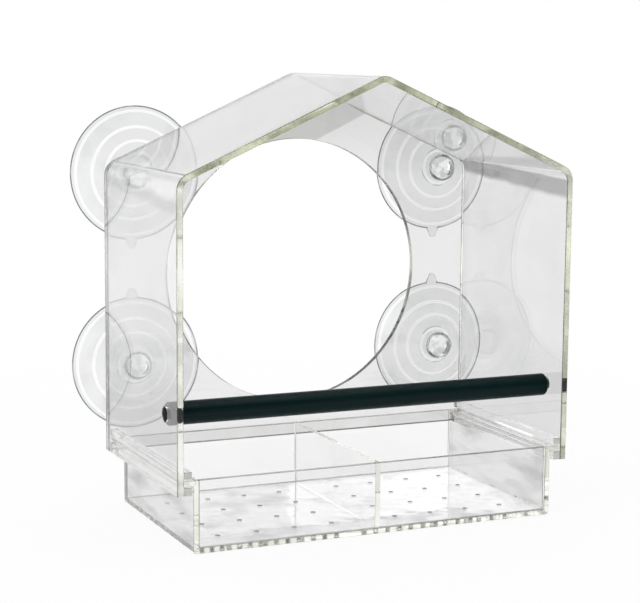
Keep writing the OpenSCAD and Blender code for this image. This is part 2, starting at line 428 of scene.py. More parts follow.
class Finish(Enum):
    """Every finish on the feeder."""

    SHELL_SHEET = ClearPlastic(
        "shell_sheet", tint=grey(0.735), patch_tint=(0.69, 0.69, 0.695),
        layers=(RIGHT_BEND_SHADE, LEFT_BEND_LIGHT, LEFT_SHADE, LEFT_FOOT_LIGHT),
    )
    SHELL_EDGE = ClearPlastic(
        "shell_edge", tint=(0.95, 0.955, 0.90), patch_tint=(0.83, 0.845, 0.74),
        layers=(ROOF_EDGE_SHADE, RIGHT_EDGE_SHADE),
        roughness=0.03, patch_roughness=0.10, patch_size=18 * MM, patch_span=(0.40, 0.56),
        ripple_size=9 * MM, **SAWN,
    )
    # Painted shade with painted highlights: the shell's rounded back corners near black, with white patches.
    SHELL_BACK_SHADE_AND_HIGHLIGHT = ClearPlastic(
        "shell_back_edge_painted_shade_and_highlight", tint=(0.12, 0.13, 0.12), patch_tint=grey(1.0),
        roughness=0.03, patch_roughness=0.08, patch_size=15 * MM, patch_span=(0.47, 0.55), ripple_size=9 * MM,
    )
    # Painted shade: dark outlines along the rounded corners at the shell's front and at the tub's ends.
    SHEET_CORNER_SHADE = ClearPlastic(
        "sheet_corner_painted_shade", tint=(0.26, 0.28, 0.19), patch_tint=(0.66, 0.68, 0.56),
        roughness=0.06, patch_roughness=0.14, patch_size=16 * MM, patch_span=(0.48, 0.68), ripple_size=6 * MM,
    )
    # Painted shade: the perch holes' walls grey and dark.
    PERCH_HOLE_SHADE = ClearPlastic(
        "perch_hole", tint=grey(0.30), patch_tint=grey(0.12), refraction=1.12,
        roughness=0.05, patch_roughness=0.15, patch_size=2 * MM, ripple_size=1.2 * MM,
    )
    PANEL_SHEET = ClearPlastic(
        "panel_sheet", tint=grey(0.84), patch_tint=(0.80, 0.80, 0.805), patch_size=34 * MM,
        layers=(PANEL_TOP_SHADE, PANEL_SLOPE_SHADE, PANEL_FOOT),
    )
    # Painted shade: the back panel's cut edges dark round its outline, the opening and the neck holes, with
    # paler patches.
    PANEL_EDGE_SHADE = ClearPlastic(
        "panel_edge_painted_shade", tint=(0.30, 0.32, 0.27), patch_tint=(0.72, 0.74, 0.64), layers=(PANEL_FOOT_EDGE_SHADE,),
        roughness=0.03, patch_roughness=0.10, patch_size=22 * MM, patch_span=(0.46, 0.62),
        ripple_size=9 * MM, **SAWN,
    )
    RAIL_SHEET = ClearPlastic("rail_sheet", tint=grey(1.0), patch_tint=grey(0.92), refraction=1.2, **STRIP)
    RAIL_END = ClearPlastic(
        "rail_end", tint=(1.0, 1.0, 0.94), patch_tint=(0.95, 0.955, 0.88), refraction=1.2, clearness=0.35,
        roughness=0.12, patch_roughness=0.20, patch_size=3 * MM, line_size=0.5 * MM, line_depth=0.002 * MM,
    )
    TRAY_SHEET = ClearPlastic("tray_sheet", tint=grey(0.80), patch_tint=(0.48, 0.48, 0.475), **STRIP)
    PLATE_SHEET = ClearPlastic(
        "plate_sheet", tint=grey(0.96), patch_tint=grey(0.91),
        patch_size=24 * MM, patch_stretch=(3.0, 1.0, 1.0), line_stretch=(12.0, 1.0, 1.0),
    )
    TRAY_FLOOR = ClearPlastic(
        "tray_floor", tint=(0.95, 0.95, 0.96), patch_tint=(0.75, 0.75, 0.76),
        roughness=0.03, patch_roughness=0.12, patch_size=17 * MM, patch_span=(0.50, 0.68),
        ripple_size=13 * MM, ripple_depth=0.14 * MM, line_stretch=(12.0, 1.0, 1.0),
    )
    # Painted shade: dark dashes along the tub's rounded lower corners.
    TRAY_CORNER_SHADE = ClearPlastic(
        "tray_corner", tint=(1.0, 1.0, 0.98), patch_tint=(0.22, 0.23, 0.20), refraction=1.2,
        roughness=0.03, patch_roughness=0.10, patch_size=3.2 * MM, patch_span=(0.50, 0.64),
        patch_stretch=(3.0, 1.0, 3.0), ripple_size=4 * MM,
    )
    TRAY_EDGE = ClearPlastic(
        "tray_edge", tint=(0.94, 0.945, 0.89), patch_tint=(0.85, 0.86, 0.76),
        roughness=0.02, patch_roughness=0.08, patch_size=20 * MM, patch_span=(0.42, 0.66),
        ripple_size=8 * MM, **SAWN,
    )
    # Painted shade: dark lines along the edges of the tray's end plates.
    PLATE_EDGE_SHADE = ClearPlastic(
        "plate_edge_painted_shade", tint=(0.24, 0.25, 0.22), patch_tint=(0.62, 0.63, 0.56),
        roughness=0.05, patch_roughness=0.12, patch_size=24 * MM, patch_span=(0.46, 0.66), ripple_size=8 * MM,
    )
    # Painted shade: the drain holes' walls near black.
    DRILLED_HOLE_SHADE = ClearPlastic(
        "drilled_hole_painted_shade", tint=(0.05, 0.055, 0.05), patch_tint=(0.24, 0.25, 0.24),
        roughness=0.12, patch_roughness=0.25, patch_size=2 * MM, ripple_size=1.2 * MM,
    )
    CUP_VINYL = ClearPlastic(
        "clear_vinyl", tint=(0.77, 0.775, 0.78), patch_tint=(0.64, 0.65, 0.66), refraction=1.53,
        roughness=0.012, patch_roughness=0.05, patch_size=14 * MM,
        ripple_size=8 * MM, ripple_depth=0.03 * MM, **MOULDED,
    )
    CUP_HOLLOW = ClearPlastic(
        "vinyl_hollow", tint=grey(1.0), patch_tint=grey(0.97), refraction=1.53,
        roughness=0.01, patch_roughness=0.04, patch_size=12 * MM, line_stretch=(1.0, 1.0, 1.0),
    )
    # Painted highlight: white rings on the cups' dishes, at the two steps, at the shoulder and near the rim.
    CUP_RING = ClearPlastic(
        "ring_painted_highlight", tint=grey(1.0), patch_tint=(0.98, 0.985, 0.985), refraction=1.2,
        roughness=0.02, patch_roughness=0.08, patch_size=8 * MM, ripple_size=5 * MM, **MOULDED,
    )
    # Painted shade: a dark outline round each cup's rim.
    CUP_RIM = ClearPlastic(
        "vinyl_rim_painted_shade", tint=(0.08, 0.095, 0.10), patch_tint=(0.45, 0.48, 0.49), refraction=1.53,
        roughness=0.05, patch_roughness=0.15, patch_size=14 * MM, patch_span=(0.5, 0.7),
        ripple_size=6 * MM, **MOULDED,
    )
    # Painted shade: dark mottled outlines on the cups' heads and necks, and a dark ring just beyond the
    # shoulder.
    CUP_HEAD = ClearPlastic(
        "vinyl_head_painted_shade", tint=(0.70, 0.73, 0.72), patch_tint=(0.34, 0.37, 0.36), refraction=1.36,
        roughness=0.04, patch_roughness=0.10, patch_size=5 * MM, patch_span=(0.44, 0.60),
        ripple_size=4 * MM, ripple_depth=0.04 * MM, **MOULDED,
    )
    SLEEVE_BLACK = SatinBlack(
        "black_rubber", colour=(0.0021, 0.0128, 0.0134), streak_colour=(0.0030, 0.0175, 0.0181),
        roughness=0.34, streak_roughness=0.44, gloss=0.10,
        streak_size=1.2 * MM, grain_size=0.35 * MM, grain_depth=0.006 * MM,
    )
    ROD_BLACK = SatinBlack(
        "black_plastic", colour=(0.003, 0.005, 0.005), streak_colour=(0.006, 0.008, 0.008),
        roughness=0.30, streak_roughness=0.40, gloss=0.01,
        streak_size=0.9 * MM, grain_size=0.3 * MM, grain_depth=0.004 * MM,
    )

    @cache
    def material(self) -> bpy.types.Material:
        """The finish's material, made at its first use."""
        return self.value.material()


# Outlines

SHARPEST_MITRE = 0.2


def fillet(points: Sequence[Point], radii: Sequence[float], steps: int, closed: bool = True) -> Loop:
    """Round the corners of an outline.

    Args:
        points: corners in order.
        radii: radius of each corner, zero for a sharp one.
        steps: straight stretches in each rounded corner.
        closed: whether the last corner joins the first; if not, the two ends stay.

    Returns:
        The points of the rounded outline.
    """
    count = len(points)
    rounded: Loop = []
    for i, (point, radius) in enumerate(zip(points, radii)):
        if radius <= 0 or (not closed and i in (0, count - 1)):
            rounded.append(point)
            continue
        here = Vector(point)
        back = (Vector(points[i - 1]) - here).normalized()
        ahead = (Vector(points[(i + 1) % count]) - here).normalized()
        half = back.angle(ahead) / 2
        centre = here + (back + ahead).normalized() * (radius / math.sin(half))
        start = here + back * (radius / math.tan(half)) - centre
        turn = math.pi - 2 * half
        side = -1 if back.cross(ahead) > 0 else 1
        for k in range(steps + 1):
            angle = side * turn * k / steps
            rounded.append((
                centre.x + start.x * math.cos(angle) - start.y * math.sin(angle),
                centre.y + start.x * math.sin(angle) + start.y * math.cos(angle),
            ))
    return rounded


def circle(centre: Point, radius: float, sides: int) -> Loop:
    """A round hole's outline, clockwise, so that the sheet lies on its left."""
    turns = [-2 * math.pi * k / sides for k in range(sides)]
    return [(centre[0] + radius * math.cos(a), centre[1] + radius * math.sin(a)) for a in turns]


def rectangle(low: Vector, high: Vector) -> Loop:
    """A counter-clockwise rectangle in X and Z, between two corners of a box."""
    return [(low.x, low.z), (high.x, low.z), (high.x, high.z), (low.x, high.z)]


def toward(start: Point, end: Point, distance: float) -> Point:
    """The point at a distance from a start, on the way to an end."""
    way = (Vector(end) - Vector(start)).normalized() * distance
    return start[0] + way.x, start[1] + way.y


def drawn_in(loop: Loop, distance: float) -> Loop:
    """An outline moved to its left, into the sheet that it bounds."""
    moved: Loop = []
    for i, point in enumerate(loop):
        here = Vector(point)
        before = (here - Vector(loop[i - 1])).normalized()
        after = (Vector(loop[(i + 1) % len(loop)]) - here).normalized()
        left = Vector((-before.y - after.y, before.x + after.x)).normalized()
        spread = max(SHARPEST_MITRE, left.dot(Vector((-after.y, after.x))))
        moved.append(tuple(here + left * (distance / spread)))
    return moved


# Meshes

MERGE_DISTANCE = 0.0005 * MM
SHARP_ANGLE = math.radians(32)
NEAR = 0.1 * MM

# Least share of a face's normal along an axis: across it, on an underside, turned to it or leaning to it
FLAT = 0.97
UNDERSIDE = 0.95
TURNED = 0.5
LEANING = 0.2

Chooser = Callable[[Vector, Vector], Finish]


def rounded_rim(start: float, end: float, radius: float) -> list[Point]:
    """Inset and depth of the rings that make both edges of a sheet round."""
    easing = radius * (1 - math.sqrt(0.5))
    low = [(radius, start), (easing, start + easing), (0.0, start + radius)]
    high = [(0.0, end - radius), (easing, end - easing), (radius, end)]
    return low + high


def cut_sheet(loops: Sequence[Loop], start: float, end: float, radius: float) -> RawMesh:
    """A flat sheet cut to an outline with holes, with rounded edges.

    Args:
        loops: the outline, counter-clockwise in X and Z, and then its holes, clockwise.
        start: the sheet's front in Y.
        end: the sheet's back in Y.
        radius: radius of its edges.

    Returns:
        A closed mesh.
    """
    mesh = bmesh.new()
    rings = [
        [[mesh.verts.new((x, depth, z)) for x, z in drawn_in(loop, inset)] for loop in loops]
        for inset, depth in rounded_rim(start, end, radius)
    ]
    for near, far in zip(rings, rings[1:]):
        for low, high in zip(near, far):
            for i in range(len(low)):
                mesh.faces.new((low[i - 1], low[i], high[i], high[i - 1]))
    for cap in (rings[0], rings[-1]):
        flat = [vertex for loop in cap for vertex in loop]
        for triangle in tessellate_polygon([[v.co for v in loop] for loop in cap]):
            mesh.faces.new([flat[i] for i in triangle])
    return mesh


def turned(
    profile: Sequence[Point],
    angles: Sequence[float],
    place: Callable[[float, float, float], Vector],
    reach: Callable[[float, float, float], float] | None = None,
    closed: bool = False,
) -> RawMesh:
    """A turned or moulded round piece.

    Args:
        profile: radius and height of each ring, in order; a radius of zero is a pole.
        angles: where the rings have their points.
        place: gives the place of a radius, an angle and a height.
        reach: gives the radius of a ring's point from its angle, radius and height.
        closed: whether the last ring joins the first, as on a piece with a bore.

    Returns:
        A closed mesh.
    """
    mesh = bmesh.new()
    rings: list[list[bmesh.types.BMVert]] = []
    for radius, height in profile:
        if radius <= 0:
            rings.append([mesh.verts.new(place(0.0, 0.0, height))] * len(angles))
            continue
        rings.append([
            mesh.verts.new(place(reach(a, radius, height) if reach else radius, a, height)) for a in angles
        ])
    pairs = list(zip(rings, rings[1:]))
    if closed:
        pairs.append((rings[-1], rings[0]))
    for low, high in pairs:
        for i in range(len(angles)):
            corners = dict.fromkeys((low[i - 1], low[i], high[i], high[i - 1]))
            mesh.faces.new(list(corners))
    return mesh


def across(axis: str, flat: Finish, rest: Finish, limit: float = FLAT) -> Chooser:
    """Choose one finish for the faces across x, y or z and another for the rest."""
    return lambda normal, _middle: flat if abs(getattr(normal, axis)) > limit else rest


def linked(name: str, data: bpy.types.ID) -> bpy.types.Object:
    """A new object in the scene."""
    made = bpy.data.objects.new(name, data)
    bpy.context.scene.collection.objects.link(made)
    return made


def plain(raw: RawMesh, name: str) -> bpy.types.Mesh:
    """A plain mesh from a raw one, which is freed."""
    mesh = bpy.data.meshes.new(name)
    raw.to_mesh(mesh)
    raw.free()
    return mesh


def evaluated(holder: bpy.types.Object) -> bpy.types.Mesh:
    """A plain mesh of an object with its modifiers; the object is removed."""
    graph = bpy.context.evaluated_depsgraph_get()
    made = bpy.data.meshes.new_from_object(holder.evaluated_get(graph), depsgraph=graph)
    bpy.data.objects.remove(holder)
    return made


def finished(raw: RawMesh, name: str, chooser: Chooser) -> bpy.types.Mesh:
    """Turn a raw mesh into a smooth one with its finishes on its faces.

    Args:
        raw: the raw mesh, which is freed.
        name: name of the new mesh.
        chooser: gives a face's finish from its normal and its middle.

    Returns:
        A plain mesh, with flat faces kept flat by weighted normals.
    """
    bmesh.ops.remove_doubles(raw, verts=raw.verts, dist=MERGE_DISTANCE)
    bmesh.ops.recalc_face_normals(raw, faces=raw.faces)
    slots: dict[Finish, int] = {}
    for face in raw.faces:
        face.smooth = True
        finish = chooser(face.normal, face.calc_center_median())
        face.material_index = slots.setdefault(finish, len(slots))
    for edge in raw.edges:
        edge.smooth = edge.calc_face_angle(math.pi) < SHARP_ANGLE
    blank = plain(raw, name)
    for finish in slots:
        blank.materials.append(finish.material())
    holder = linked(name, blank)
    holder.modifiers.new("flat faces", "WEIGHTED_NORMAL").keep_sharp = True
    made = evaluated(holder)
    bpy.data.meshes.remove(blank)
    made.name = name
    return made


def piece(raw: RawMesh, chooser: Chooser, name: str, body: str, node: str) -> None:
    """Dress a raw mesh and show it as a piece of the feeder.

    Args:
        raw: the raw mesh, in the row frame, which is freed.
        chooser: gives a face's finish from its normal and its middle.
        name: the piece's name.
        body: the CAD body that it rides on.
        node: the CAD node that it stands for.
    """
    mesh = finished(raw, name, chooser)
    shown = linked(name, mesh)
    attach(shown, body)
    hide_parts(node)
    log.info("%s: %d faces on %s", name, len(mesh.polygons), body)


class GeometryTree(Graph):
    """A Geometry Nodes tree with named inputs, which turns a base mesh into a plain one."""

    KINDS = {int: "NodeSocketInt", float: "NodeSocketFloat"}

    def __init__(self, name: str, sizes: Mapping[str, float]) -> None:
        """Make the tree and its inputs.

        Args:
            name: the tree's name.
            sizes: the named inputs and their values.
        """
        super().__init__(bpy.data.node_groups.new(name, "GeometryNodeTree"))
        self.sizes = dict(sizes)
        face = self.tree.interface
        face.new_socket("Base", in_out="INPUT", socket_type="NodeSocketGeometry")
        for key, value in sizes.items():
            face.new_socket(key, in_out="INPUT", socket_type=self.KINDS[type(value)])
        face.new_socket("Made", in_out="OUTPUT", socket_type="NodeSocketGeometry")
        self.entry = self.node("NodeGroupInput")

    def size(self, key: str) -> Number:
        """A named input as a number."""
        return Number(self, self.entry.outputs[key])

    def base(self) -> Socket:
        """The base mesh."""
        return self.entry.outputs["Base"]

    def vector(self, x: Operand, y: Operand, z: Operand) -> Socket:
        """A vector from three numbers."""
        return self.made("ShaderNodeCombineXYZ", inputs={"X": x, "Y": y, "Z": z})

    def moved(self, geometry: Socket, **changes: Any) -> Socket:
        """Geometry under a Transform node, whose inputs are given by name."""
        return self.made("GeometryNodeTransform", inputs={"Geometry": geometry, **changes})

    def rounded(self, curve: Socket, corner: str) -> Socket:
        """A curve with rounded corners, by the inputs that are named for the corner."""
        return self.made("GeometryNodeFilletCurve", {"mode": "POLY"}, {
            "Curve": curve, "Count": self.size(corner + " Steps"), "Radius": self.size(corner + " Radius"),
        })

    def drill(self, sides: int) -> Socket:
        """An upright cylinder, by the inputs that are named for the hole."""
        return self.made("GeometryNodeMeshCylinder", inputs={
            "Vertices": sides, "Radius": self.size("Hole Radius"), "Depth": self.size("Hole Length"),
        })

    def cut(self, whole: Socket, tool: Socket) -> Socket:
        """A mesh with another cut out of it."""
        settings = {"operation": "DIFFERENCE", "solver": "EXACT"}
        return self.made("GeometryNodeMeshBoolean", settings, {"Mesh 1": whole, "Mesh 2": tool})

    def realized(self, geometry: Socket) -> Socket:
        """Geometry with its instances made real."""
        return self.made("GeometryNodeRealizeInstances", inputs={"Geometry": geometry})

    def finish(self, geometry: Socket, sheet: Finish) -> None:
        """End the tree in Realize Instances and Set Material."""
        inputs = {"Geometry": self.realized(geometry), "Material": sheet.material()}
        self.node("NodeGroupOutput", inputs={"Made": self.made("GeometryNodeSetMaterial", inputs=inputs)})

    def applied(self, base: bpy.types.Mesh) -> RawMesh:
        """Run the tree on a base mesh.

        Args:
            base: the mesh that the tree starts from.

        Returns:
            The result, as a raw mesh.
        """
        holder = linked(self.tree.name, base)
        modifier = holder.modifiers.new(self.tree.name, "NODES")
        modifier.node_group = self.tree
        for item in self.tree.interface.items_tree:
            if item.in_out == "INPUT" and item.name in self.sizes:
                modifier[item.identifier] = self.sizes[item.name]
        made = evaluated(holder)
        raw = bmesh.new()
        raw.from_mesh(made)
        bpy.data.meshes.remove(made)
        return raw


def path_mesh(name: str, points: Sequence[Place]) -> bpy.types.Mesh:
    """A mesh of one open line of edges."""
    mesh = bpy.data.meshes.new(name)
    mesh.from_pydata(points, [(i, i + 1) for i in range(len(points) - 1)], [])
    return mesh


# The feeder


def cup_joints() -> list[dict[str, Any]]:
    """The joints that turn the suction cups."""
    return [joint for joint in frame["joints"] if joint["child"].endswith("_cup")]


@dataclass
class House:
    """Bent shell, back panel and tray rails, bonded together."""

    sheet: float = 3 * MM
    bend_radius: float = 5 * MM
    bend_steps: int = 14
    eave_height: float = 137 * MM
    roof_rise: float = 44 * MM
    opening_diameter: float = 130 * MM
    opening_height: float = 83 * MM
    opening_sides: int = 160
    glue_gap: float = 0.05 * MM
    running_gap: float = 0.08 * MM
    neck_diameter: float = 9 * MM
    neck_sides: int = 40
    perch_sides: int = 48
    edge_radius: float = 0.4 * MM
    edge_steps: int = 3
    panel_steps: int = 10

    def __post_init__(self) -> None:
        """Take the places of the house and of the perch's axis from the frame."""
        self.low, self.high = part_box("house_shell")
        self.half_width = self.high.x
        self.pitch = math.atan2(self.roof_rise, self.half_width)
        rod_low, rod_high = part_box("perch_rod")
        self.perch_axis = (rod_low + rod_high) / 2
        self.perch_hole = (rod_high.z - rod_low.z) / 2 + self.running_gap

    def corners(self, inset: float) -> Loop:
        """Corners in X and Z, drawn in from the outer faces, counter-clockwise from the lower left."""
        fall = inset / math.cos(self.pitch)
        eave = self.low.z + self.eave_height + inset * math.tan(self.pitch) - fall
        ridge = self.low.z + self.eave_height + self.roof_rise - fall
        side = self.half_width - inset
        return [(-side, self.low.z), (side, self.low.z), (side, eave), (0.0, ridge), (-side, eave)]

    def build_shell(self) -> None:
        """Sweep the sheet's section along its bent line, and drill the two perch holes."""
        tree = GeometryTree("bent_sheet", {
            "Thickness": self.sheet,
            "Depth": self.high.y - self.low.y,
            "Bend Radius": self.bend_radius + self.sheet / 2,
            "Bend Steps": self.bend_steps,
            "Edge Radius": self.edge_radius,
            "Edge Steps": self.edge_steps,
            "Hole Radius": self.perch_hole,
            "Hole Length": 3 * self.half_width,
            "Hole Y": self.perch_axis.y,
            "Hole Z": self.perch_axis.z,
        })
        line = tree.made("GeometryNodeMeshToCurve", inputs={"Mesh": tree.base()})
        section = tree.made("GeometryNodeCurvePrimitiveQuadrilateral", inputs={
            "Width": tree.size("Thickness"), "Height": tree.size("Depth"),
        })
        swept = tree.made("GeometryNodeCurveToMesh", inputs={
            "Curve": tree.rounded(line, "Bend"),
            "Profile Curve": tree.rounded(section, "Edge"),
            "Fill Caps": True,
        })
        drill = tree.moved(
            tree.drill(self.perch_sides),
            Translation=tree.vector(0.0, tree.size("Hole Y"), tree.size("Hole Z")),
            Rotation=(0.0, math.pi / 2, 0.0),
        )
        tree.finish(tree.cut(swept, drill), Finish.SHELL_SHEET)

        middle = (self.low.y + self.high.y) / 2
        start, *others = self.corners(self.sheet / 2)
        bent_line = [(x, middle, z) for x, z in (start, *reversed(others))]
        shell = tree.applied(path_mesh("shell_line", bent_line))
        piece(shell, self.shell_zone, "shell_sheet", "house", "house_shell")

    def shell_zone(self, normal: Vector, middle: Vector) -> Finish:
        """Finish of a face of the shell."""
        bored = (middle - self.perch_axis).yz.length < self.perch_hole + NEAR
        if bored and abs(normal.x) < TURNED:
            return Finish.PERCH_HOLE_SHADE
        if abs(normal.y) > FLAT or normal.z < -UNDERSIDE:
            return Finish.SHELL_EDGE
        if abs(normal.y) > LEANING:
            return Finish.SHELL_BACK_SHADE_AND_HIGHLIGHT if normal.y > 0 else Finish.SHEET_CORNER_SHADE
        return Finish.SHELL_SHEET

    def build_panel(self) -> None:
        """Cut the back panel with its round opening and the four neck holes."""
        low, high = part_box("back_panel")
        bend = self.bend_radius - self.glue_gap
        corners = self.corners(self.sheet + self.glue_gap)
        loops = [fillet(corners, [0.0, 0.0, bend, bend, bend], self.panel_steps)]
        opening = (0.0, self.low.z + self.opening_height)
        loops.append(circle(opening, self.opening_diameter / 2, self.opening_sides))
        neck_hole = self.neck_diameter / 2 + self.running_gap
        for joint in cup_joints():
            x, _, z = joint["pos_m"]
            loops.append(circle((x, z), neck_hole, self.neck_sides))
        panel = cut_sheet(loops, low.y, high.y, self.edge_radius)
        zone = across("y", Finish.PANEL_SHEET, Finish.PANEL_EDGE_SHADE)
        piece(panel, zone, "back_sheet", "house", "back_panel")

    def build_rails(self) -> None:
        """Make the four bonded strips that carry the tray."""
        zone = across("y", Finish.RAIL_END, Finish.RAIL_SHEET, TURNED)
        for node in ("rail_left_upper", "rail_left_lower", "rail_right_upper", "rail_right_lower"):
            low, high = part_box(node)
            strip = cut_sheet([rectangle(low, high)], low.y, high.y, self.edge_radius)
            piece(strip, zone, node.replace("rail", "strip"), "house", node)

    def build(self) -> None:
        """Build every piece of the house."""
        self.build_shell()
        self.build_panel()
        self.build_rails()


@dataclass
class Tray:
    """Seed tray: a hat-shaped tub with drain holes, two end plates and a divider."""

    sheet: float = 2.5 * MM
    inner_radius: float = 0.6 * MM
    outer_radius: float = 1.5 * MM
    flange_radius: float = 0.3 * MM
    corner_steps: int = 5
    drain_diameter: float = 2.6 * MM
    drain_edge: float = 15 * MM
    drain_count: int = 4
    drain_sides: int = 24
    glue_gap: float = 0.05 * MM
    edge_radius: float = 0.2 * MM

    def __post_init__(self) -> None:
        """Take the tray's place from the frame."""
        self.low, self.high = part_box("tray_body")
        self.inner_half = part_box("tray_front")[1].x + self.glue_gap
        self.outer_half = self.inner_half + self.sheet
        self.floor = self.low.z + self.sheet

    def section(self) -> Loop:
        """The tub's section in X and Z: floor, side walls and flanges."""
        flange, under = self.high.x, self.high.z - self.sheet
        right = [
            (self.outer_half, self.low.z), (self.outer_half, under), (flange, under),
            (flange, self.high.z), (self.inner_half, self.high.z), (self.inner_half, self.floor),
        ]
        radii = [self.outer_radius, *[self.flange_radius] * 4, self.inner_radius]
        left = [(-x, z) for x, z in reversed(right)]
        return fillet(right + left, radii + radii[::-1], self.corner_steps)

    def build_tub(self) -> None:
        """Extrude the tub's section and drill the drain holes."""
        first = self.sheet / 2 + self.drain_edge
        last = self.inner_half - self.drain_edge
        front = self.low.y + self.sheet + self.drain_edge
        back = self.high.y - self.sheet - self.drain_edge
        tree = GeometryTree("drain_holes", {
            "Count": self.drain_count,
            "Spread X": last - first,
            "Spread Y": back - front,
            "Middle X": (first + last) / 2,
            "Middle Y": (front + back) / 2,
            "Floor Z": self.floor - self.sheet / 2,
            "Hole Radius": self.drain_diameter / 2,
            "Hole Length": 2 * self.sheet,
        })
        grid = tree.made("GeometryNodeMeshGrid", inputs={
            "Size X": tree.size("Spread X"), "Size Y": tree.size("Spread Y"),
            "Vertices X": tree.size("Count"), "Vertices Y": tree.size("Count"),
        })
        aside, along, level = (tree.size(key) for key in ("Middle X", "Middle Y", "Floor Z"))
        fields = [
            tree.moved(grid, Translation=tree.vector(side * aside, along, level)) for side in (-1.0, 1.0)
        ]
        places = tree.made("GeometryNodeJoinGeometry", inputs={"Geometry": fields})
        drills = {"Points": places, "Instance": tree.drill(self.drain_sides)}
        holes = tree.realized(tree.made("GeometryNodeInstanceOnPoints", inputs=drills))
        tree.finish(tree.cut(tree.base(), holes), Finish.TRAY_SHEET)

        blank = cut_sheet([self.section()], self.low.y, self.high.y, self.edge_radius)
        bmesh.ops.recalc_face_normals(blank, faces=blank.faces)
        tub = tree.applied(plain(blank, "tub_blank"))
        piece(tub, self.tub_zone, "tray_tub", "tray", "tray_body")

    def tub_zone(self, normal: Vector, middle: Vector) -> Finish:
        """Finish of a face of the tub."""
        if min(middle.y - self.low.y, self.high.y - middle.y) < self.edge_radius:
            return Finish.TRAY_EDGE if abs(normal.y) > FLAT else Finish.SHEET_CORNER_SHADE
        if middle.z < self.floor + NEAR and abs(middle.x) < self.inner_half - self.inner_radius:
            if abs(normal.z) > TURNED:
                return Finish.TRAY_FLOOR
            # Painted shade: the side of each drain hole's wall that faces the front is near black.
            return Finish.DRILLED_HOLE_SHADE if normal.y < -LEANING else Finish.TRAY_EDGE
        if middle.z < self.low.z + self.outer_radius and abs(middle.x) > self.inner_half:
            return Finish.TRAY_CORNER_SHADE
        return Finish.TRAY_EDGE if abs(middle.x) > self.high.x - NEAR else Finish.TRAY_SHEET

    def build_plate(self, node: str, axis: str, radius: float, edge: Finish) -> None:
        """Make one plate of the tray.

        Args:
            node: the CAD node that it stands for.
            axis: the axis that it lies across.
            radius: radius of its lower corners.
            edge: finish of its edges.
        """
        low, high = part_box(node)
        section = fillet(rectangle(low, high), [radius, radius, 0.0, 0.0], self.corner_steps)
        plate = cut_sheet([section], low.y, high.y, self.edge_radius)
        zone = across(axis, Finish.PLATE_SHEET, edge)
        piece(plate, zone, node + "_plate", "tray", node)

    def build(self) -> None:
        """Build every piece of the tray."""
        self.build_tub()
        for node in ("tray_front", "tray_back"):
            self.build_plate(node, "y", self.inner_radius, Finish.PLATE_EDGE_SHADE)
        self.build_plate("tray_divider", "x", 0.0, Finish.TRAY_EDGE)


@dataclass
class Perch:
    """Black rod through both side walls, and the black sleeve on it, turned about X."""

    chamfer: float = 0.6 * MM
    grip_gap: float = 0.04 * MM
    soft_radius: float = 0.25 * MM
    soft_steps: int = 4
    sides: int = 96

    def __post_init__(self) -> None:
        """Take the perch's axis from the frame."""
        low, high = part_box("perch_rod")
        self.axis = (low + high) / 2
        self.rod_radius = (high.z - low.z) / 2

    def place(self, radius: float, angle: float, height: float) -> Vector:
        """A point at a radius and an angle about the axis, at a place along X."""
        y, z = self.axis.y + radius * math.cos(angle), self.axis.z + radius * math.sin(angle)
        return Vector((height, y, z))

    def build_turned(self, node: str, name: str, finish: Finish, bore: float) -> None:
        """Turn one piece with softened chamfers.

        Args:
            node: the CAD node that it stands for.
            name: the piece's name.
            finish: its finish.
            bore: radius of its bore, zero for a solid piece.
        """
        low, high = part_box(node)
        outer = (high.z - low.z) / 2
        points = [(bore, low.x), (outer - self.chamfer, low.x), (outer, low.x + self.chamfer)]
        points += [(radius, low.x + high.x - x) for radius, x in reversed(points)]
        radii = [0.0, *[self.soft_radius] * 4, 0.0]
        section = fillet(points, radii, self.soft_steps, closed=False)
        angles = [2 * math.pi * k / self.sides for k in range(self.sides)]
        raw = turned(section, angles, self.place, closed=bore > 0)
        piece(raw, lambda _normal, _middle: finish, name, "perch", node)

    def build(self) -> None:
        """Build the rod and the sleeve."""
        bore = self.rod_radius + self.grip_gap
        self.build_turned("perch_rod", "perch_core", Finish.ROD_BLACK, 0.0)
        self.build_turned("perch_sleeve", "perch_grip", Finish.SLEEVE_BLACK, bore)


